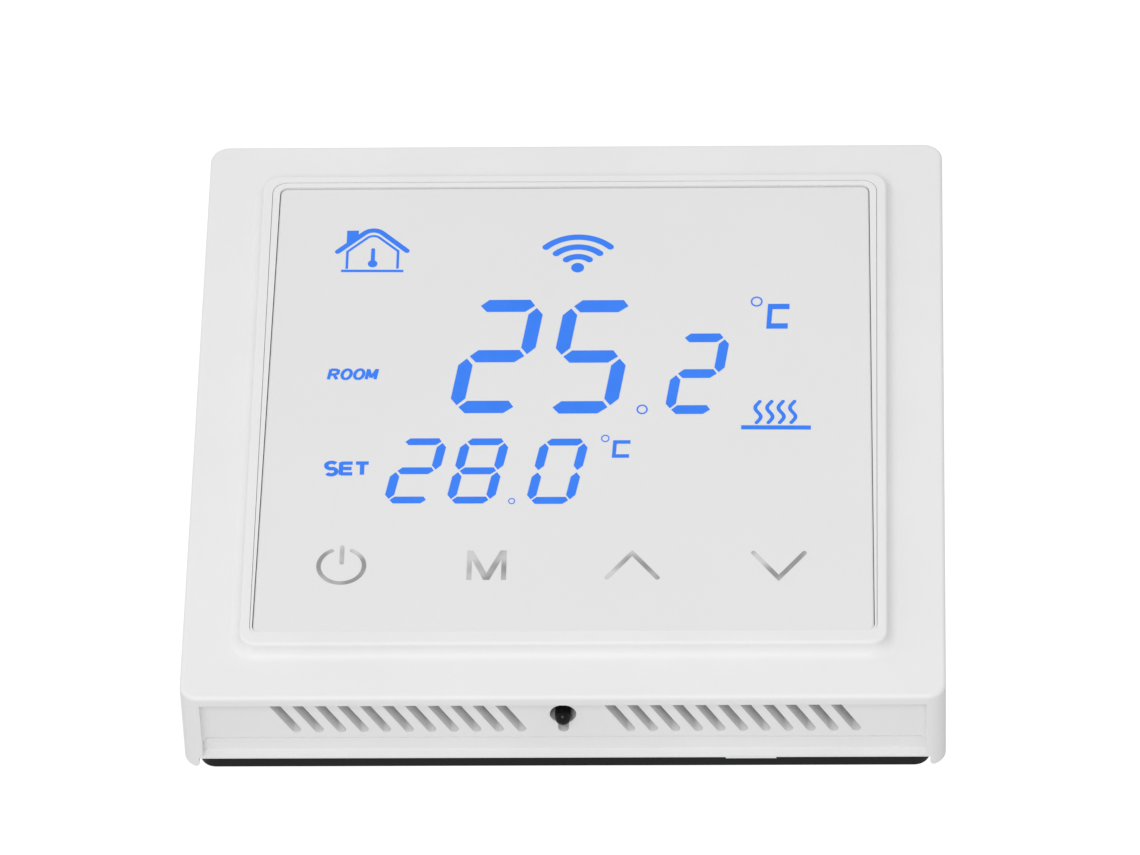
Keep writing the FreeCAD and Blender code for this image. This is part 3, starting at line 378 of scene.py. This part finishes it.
def print_piece(name, outlines, slot, holes=()):
    """One printed symbol: each outline becomes a thin closed plate on the glass. holes pairs an outline
    with the one inside it, point by point, and makes a ring of the two."""
    front = GLASS_LOW.y - PRINT_THICK * MM
    back = GLASS_LOW.y + PRINT_SINK * MM
    shape = bmesh.new()
    layers = len(outlines) - 1

    def spot(point, y):
        return shape.verts.new((point[0] * MM, y, (point[1] + DISPLAY_RISE) * MM))

    for layer, outline in enumerate(outlines):
        near = [spot(p, front + (layers - layer) * LAYER_STEP * MM) for p in outline]
        far = [spot(p, back) for p in outline]
        shape.faces.new(near)
        shape.faces.new(far[::-1])
        for i in range(len(near)):
            j = (i + 1) % len(near)
            shape.faces.new((near[j], near[i], far[i], far[j]))
    for outer, inner in holes:
        loops = [[spot(p, y) for p in line] for line, y in
                 ((outer, front), (inner, front), (inner, back), (outer, back))]
        count = len(outer)
        for k in range(4):
            for i in range(count):
                j = (i + 1) % count
                shape.faces.new((loops[k][i], loops[k][j], loops[(k + 1) % 4][j], loops[(k + 1) % 4][i]))
    bmesh.ops.recalc_face_normals(shape, faces=shape.faces)
    bmesh.ops.triangulate(shape, faces=[f for f in shape.faces if len(f.verts) > 4])
    add_piece(name, shape, slot)


def ring(centre, radius, stroke, squash=1.15):
    outer, inner = radius + stroke / 2, radius - stroke / 2
    return disc(centre, outer, squash), disc(centre, inner, squash)


def segment(kind, tip_left, level, size, slant, stroke, upright, width, step):
    """One of the seven segments. tip_left and level place the bottom segment's left tip."""
    half, side, gap = stroke / 2, upright / 2, SIDE_GAP * size
    low = {"a": 2, "g": 1, "d": 0, "b": 1, "f": 1, "c": 0, "e": 0}[kind] * step
    if kind in "agd":
        corner = half * 0.9
        points = [(0, low), (corner, low - half), (width - corner * 1.2, low - half), (width, low),
                  (width - corner * 0.8, low + half), (corner, low + half)]
    else:
        centre = -gap if kind in "fe" else width + gap
        bottom, top = low + UPRIGHT_LIFT * size, low + step - UPRIGHT_DROP * size
        corner = side * 1.25
        points = [(centre, bottom), (centre + side, bottom + corner), (centre + side, top - corner),
                  (centre, top), (centre - side, top - corner), (centre - side, bottom + corner)]
    return [(tip_left + x + slant * z, level + z) for x, z in points]


def digit(text, tip_left, level, size=1.0, slant=0.1375, **given):
    sizes = {"stroke": DIGIT_STROKE * size, "upright": DIGIT_UPRIGHT * size,
             "width": DIGIT_WIDTH * size, "step": DIGIT_STEP * size, **given}
    return [segment(kind, tip_left, level, size, slant, **sizes) for kind in SEGMENTS[text]]


def square_c(left, low, wide, high, bar, stem):
    """The C of a degree sign, drawn square, leaning slightly."""
    lean = 0.05 * high
    return [(left, low), (left + wide - lean, low), (left + wide - lean, low + bar),
            (left + stem, low + bar), (left + stem + lean * 0.7, low + high - bar),
            (left + wide, low + high - bar), (left + wide, low + high), (left + lean, low + high)]


def room_temperature():
    digits = digit("2", tip_left=-12.68, level=-0.46) + digit("5", tip_left=-1.87, level=-0.58)
    print_piece("main_digits", digits, "display_blue")
    fraction = digit("2", tip_left=11.75, level=-1.0, size=0.707, slant=0.128)
    print_piece("fraction_digit", fraction, "display_blue")
    print_piece("main_point", [], "display_blue", [ring(centre=(8.42, -0.94), radius=0.56, stroke=0.17)])
    letter = square_c(left=22.56, low=11.62, wide=2.68, high=3.9, bar=0.82, stem=0.58)
    print_piece("main_degree", [letter], "display_blue",
                [ring(centre=(21.44, 15.9), radius=0.6, stroke=0.18)])


def set_temperature():
    small = {"size": 0.565, "slant": 0.173, "width": 4.15, "stroke": 1.04, "upright": 1.06}
    outlines = digit("2", tip_left=-20.15, level=-14.77, **small)
    outlines += digit("8", tip_left=-13.04, level=-14.82, **small)
    outlines += digit("0", tip_left=-3.96, level=-14.92, **small)
    print_piece("set_digits", outlines, "display_blue")
    print_piece("set_point", [], "display_blue", [ring(centre=(-6.23, -15.0), radius=0.34, stroke=0.11)])
    letter = square_c(left=5.06, low=-8.4, wide=2.1, high=2.68, bar=0.52, stem=0.45)
    print_piece("set_degree", [letter], "display_blue",
                [ring(centre=(4.27, -5.42), radius=0.42, stroke=0.13)])


def house_icon():
    eave_left, eave_right, ridge = (-27.4, 24.14), (-19.34, 24.24), (-23.3, 28.12)
    roof = [eave_left, *rounded_corner(eave_left, ridge, eave_right, 1.5), eave_right]
    wall_left, wall_right, peak = (-26.26, 24.15), (-20.36, 24.2), (-23.28, 27.02)
    walls = [(-26.26, 21.42), wall_left, *rounded_corner(wall_left, peak, wall_right, 1.0),
             wall_right, (-20.36, 21.42)]
    chimney = [(-26.4, 25.55), (-25.04, 26.86), (-25.04, 27.5), (-26.4, 27.5)]
    bulb = arc((-23.27, 22.2), 0.56, 115, 425, 24)
    thermometer = [*bulb, (-23.05, 24.5), (-23.13, 24.66), (-23.41, 24.66), (-23.49, 24.5)]
    print_piece("house_icon", [ribbon(roof, 0.64), ribbon(walls, 0.3, False), chimney,
                               ribbon([(-26.9, 21.08), (-19.66, 21.02)], 0.36, False)], "display_blue")
    print_piece("thermometer_icon", [thermometer], "display_blue")


def wireless_icon():
    centre = (0.6, 21.1)
    arcs = [ribbon(arc(centre, radius, 90 + spread, 90 - spread), 0.83)
            for radius, spread in ((5.2, 46), (3.62, 44.5), (2.08, 40))]
    print_piece("wireless_icon", [*arcs, disc((0.6, 21.42), 0.75)], "display_blue")


def heat_icon():
    outlines = [ribbon([(19.8, -3.78), (27.77, -3.86)], 0.62, False)]
    top, fall, sway, steps = 0.22, 3.3, 0.32, 20
    shift, wave = 0.09, 0.84            # shares of the fall: where the wave starts, and its length
    for left in (21.7, 23.06, 24.36, 25.68):
        line = [(left - sway * math.sin(2 * math.pi * (i / steps - shift) / wave), top - fall * i / steps)
                for i in range(steps + 1)]
        outlines.append(ribbon(line, 0.44))
    print_piece("heat_icon", outlines, "display_blue")


S_CURVE = arc((0.5, 0.74), 0.46, 35, 270, 14, 0.56) + arc((0.5, 0.26), 0.46, 90, -145, 14, 0.56)[1:]
LETTERS = {
    "R": [[(0, 0), (0, 1)], [(0, 0.96), (0.6, 0.96), (0.9, 0.86), (0.9, 0.6), (0.6, 0.48), (0, 0.48)],
          [(0.5, 0.46), (0.95, 0)]],
    "O": [arc((0.5, 0.5), 0.5, -90, 270, 24, 0.94)],
    "M": [[(0, 0), (0, 1)], [(0.04, 0.96), (0.5, 0.16)], [(0.5, 0.16), (0.96, 0.96)], [(1, 1), (1, 0)]],
    "S": [S_CURVE],
    "E": [[(0, 0), (0, 1)], [(0, 0.93), (1, 0.93)], [(0, 0.5), (0.92, 0.5)], [(0, 0.07), (1, 0.07)]],
    "T": [[(0.5, 0), (0.5, 0.93)], [(-0.06, 0.93), (1.06, 0.93)]],
}


def word(name, text, left, low, letter_wide, letter_high, pitch, stroke, slot, lean=0.0):
    """A short mark in plain strokes: each letter is drawn in a box of its own."""
    outlines = []
    for i, letter in enumerate(text):
        for line in LETTERS[letter]:
            points = [(left + pitch * i + (x * letter_wide) + lean * z * letter_high,
                       low + z * letter_high) for x, z in line]
            outlines.append(ribbon(points, stroke, False))
    print_piece(name, outlines, slot)


def key_symbols():
    centre = (-25.3, -24.78)
    circle = arc(centre, radius=2.58, start=116, end=424, steps=60)
    mark = [(-25.28, -24.3), (-25.28, -21.9)]
    print_piece("power_symbol", [ribbon(circle, width=0.5), ribbon(mark, width=0.5)], "icon_silver")
    left, right, low, high, bar = -11.08, -6.6, -26.95, -22.52, 0.56
    middle, foot = (left + right) / 2, 0.34
    print_piece("mode_symbol", [[
        (left, low), (left + bar, low), (left + bar, high - 1.35), (middle - foot, low),
        (middle + foot, low), (right - bar, high - 1.35), (right - bar, low), (right, low), (right, high),
        (right - bar * 1.25, high), (middle, low + 1.0), (left + bar * 1.25, high), (left, high)]],
        "icon_silver")
    upward = [(4.8, -26.68), (7.62, -22.95), (10.5, -26.72)]
    downward = [(21.35, -23.0), (24.22, -26.82), (27.1, -23.05)]
    print_piece("up_symbol", [ribbon(upward, width=0.56)], "icon_silver")
    print_piece("down_symbol", [ribbon(downward, width=0.56)], "icon_silver")


# ------------------------------------------------------------------ small parts on the control board
def blocks(name, corners_list, slot):
    """One piece made of small boxes, each given by its low and high corner in metres."""
    shape = bmesh.new()
    for low, high in corners_list:
        cube = bmesh.ops.create_cube(shape, size=1)
        middle, size = (Vector(low) + Vector(high)) / 2, Vector(high) - Vector(low)
        for v in cube["verts"]:
            v.co = Vector((v.co.x * size.x, v.co.y * size.y, v.co.z * size.z)) + middle
    add_piece(name, shape, slot)


def legs(chip, count, sides, reach, wide):
    """Bent chip legs, as a foot on the board and a riser beside the package."""
    low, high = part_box(chip)
    foot, rise = 0.15 * MM, (high.y - low.y) * 0.55
    margin = 0.06                       # share of each side left free at both ends
    parts = []
    for i in range(count):
        share = (i + 0.5) / count
        across = low.x + (high.x - low.x) * (margin + (1 - 2 * margin) * share)
        along = low.z + (high.z - low.z) * (margin + (1 - 2 * margin) * share)
        for side in sides:
            edge, out = (high, 1) if side in "RT" else (low, -1)
            for reach_to, tall in ((reach, foot), (foot, rise)):
                far = reach_to * out
                if side in "LR":
                    ends = sorted((edge.x, edge.x + far))
                    parts.append(((ends[0], low.y, along - wide / 2),
                                  (ends[1], low.y + tall, along + wide / 2)))
                else:
                    ends = sorted((edge.z, edge.z + far))
                    parts.append(((across - wide / 2, low.y, ends[0]),
                                  (across + wide / 2, low.y + tall, ends[1])))
    return parts


def board_details():
    blocks("main_chip_legs", legs("main_chip", 11, "LRTB", 0.9 * MM, 0.3 * MM), "zinc_steel")
    blocks("memory_chip_legs", legs("memory_chip", 4, "LR", 0.9 * MM, 0.4 * MM), "zinc_steel")
    low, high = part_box("radio_board")
    pad, skin = 1.0 * MM, 0.05 * MM
    pad_count, pad_pitch, first_pad = 10, 1.7, 2.0
    outside, inside = 0.3 * MM, 0.7 * MM
    pads = []
    for i in range(pad_count):
        z = low.z + (i * pad_pitch + first_pad) * MM
        pads.append(((low.x - outside, low.y, z), (low.x + inside, high.y + skin, z + pad)))
        pads.append(((high.x - inside, low.y, z), (high.x + outside, high.y + skin, z + pad)))
    blocks("radio_pads", pads, "tin_shield")
    trace, pitch, rows = 0.5 * MM, 1.3 * MM, 9
    left, foot, head = low.x + 3.0 * MM, high.z - 5.4 * MM, high.z - 1.2 * MM
    bends = []
    for i in range(rows):
        x = left + pitch * i
        bends.append(((x, high.y, foot), (x + trace, high.y + skin, head)))
        if i < rows - 1:
            end = head - trace if i % 2 == 0 else foot
            bends.append(((x + trace, high.y, end), (x + pitch, high.y + skin, end + trace)))
    blocks("radio_antenna", bends, "brass_pin")


# ------------------------------------------------------------------ stage, light and camera
def stage():
    bpy.ops.mesh.primitive_plane_add(size=FLOOR_SIZE, location=(0, 0, FLOOR_HEIGHT))
    floor = bpy.context.object
    floor.name = "floor"
    floor.data.materials.append(moulded("floor_paint", (0.93, 0.93, 0.93), 0.8, grain=40, mottle=0.004))


def world_light():
    """Even white studio light, a little stronger from the left in front, and a plain white backdrop."""
    world = bpy.data.worlds.new("studio")
    bpy.context.scene.world = world
    world.use_nodes = True
    nodes, links = world.node_tree.nodes, world.node_tree.links
    background = nodes["Background"]
    background.inputs["Color"].default_value = (1, 1, 1, 1)
    seen = nodes.new("ShaderNodeBackground")
    seen.inputs["Color"].default_value = (1, 1, 1, 1)
    seen.inputs["Strength"].default_value = BACKDROP_STRENGTH
    place = nodes.new("ShaderNodeTexCoord")
    towards = nodes.new("ShaderNodeVectorMath")
    towards.operation = "DOT_PRODUCT"
    towards.inputs[1].default_value = Vector(BRIGHT_SIDE).normalized()
    links.new(place.outputs["Generated"], towards.inputs[0])
    strength = nodes.new("ShaderNodeMapRange")
    strength.inputs["From Min"].default_value = -1
    strength.inputs["From Max"].default_value = 1
    strength.inputs["To Min"].default_value = WORLD_DIM
    strength.inputs["To Max"].default_value = WORLD_BRIGHT
    links.new(towards.outputs["Value"], strength.inputs["Value"])
    links.new(strength.outputs["Result"], background.inputs["Strength"])
    ray = nodes.new("ShaderNodeLightPath")
    choose = nodes.new("ShaderNodeMixShader")
    links.new(ray.outputs["Is Camera Ray"], choose.inputs["Fac"])
    links.new(background.outputs["Background"], choose.inputs[1])
    links.new(seen.outputs["Background"], choose.inputs[2])
    links.new(choose.outputs["Shader"], nodes["World Output"].inputs["Surface"])


def softbox(name, place, size, power):
    light = bpy.data.lights.new(name, "AREA")
    light.size = size
    light.energy = power
    box = bpy.data.objects.new(name, light)
    box.location = place
    box.rotation_euler = (-Vector(place)).to_track_quat("-Z", "Y").to_euler()
    box.visible_camera = False
    bpy.context.collection.objects.link(box)


def camera():
    azimuth, elevation, roll = (math.radians(a) for a in (CAMERA_AZIMUTH, CAMERA_ELEVATION, CAMERA_ROLL))
    back = Vector((math.sin(azimuth) * math.cos(elevation), -math.cos(azimuth) * math.cos(elevation),
                   math.sin(elevation)))
    right = Vector((math.cos(azimuth), math.sin(azimuth), 0))
    up = back.cross(right)
    right, up = (math.cos(roll) * right + math.sin(roll) * up,
                 math.cos(roll) * up - math.sin(roll) * right)
    data = bpy.data.cameras.new("camera")
    data.lens = CAMERA_LENS
    data.sensor_width = CAMERA_SENSOR
    data.clip_end = CAMERA_REACH
    eye = bpy.data.objects.new("camera", data)
    eye.matrix_world = Matrix.Translation(CAMERA_AIM + back * CAMERA_DISTANCE) @ Matrix((
        (right.x, up.x, back.x, 0), (right.y, up.y, back.y, 0), (right.z, up.z, back.z, 0), (0, 0, 0, 1)))
    bpy.context.collection.objects.link(eye)
    bpy.context.scene.camera = eye


camera()
finish_cad_nodes()
room_temperature()
set_temperature()
house_icon()
wireless_icon()
heat_icon()
word("room_label", "ROOM", left=-27.78, low=3.95, letter_wide=1.02, letter_high=1.56, pitch=1.45,
     stroke=0.38, slot="display_blue", lean=0.16)
word("set_label", "SET", left=-27.6, low=-10.86, letter_wide=1.3, letter_high=1.92, pitch=1.76,
     stroke=0.5, slot="display_blue")
key_symbols()
board_details()
stage()
world_light()
softbox("key_light", KEY_PLACE, KEY_SIZE, KEY_POWER)
bpy.context.scene.view_settings.view_transform = "Standard"
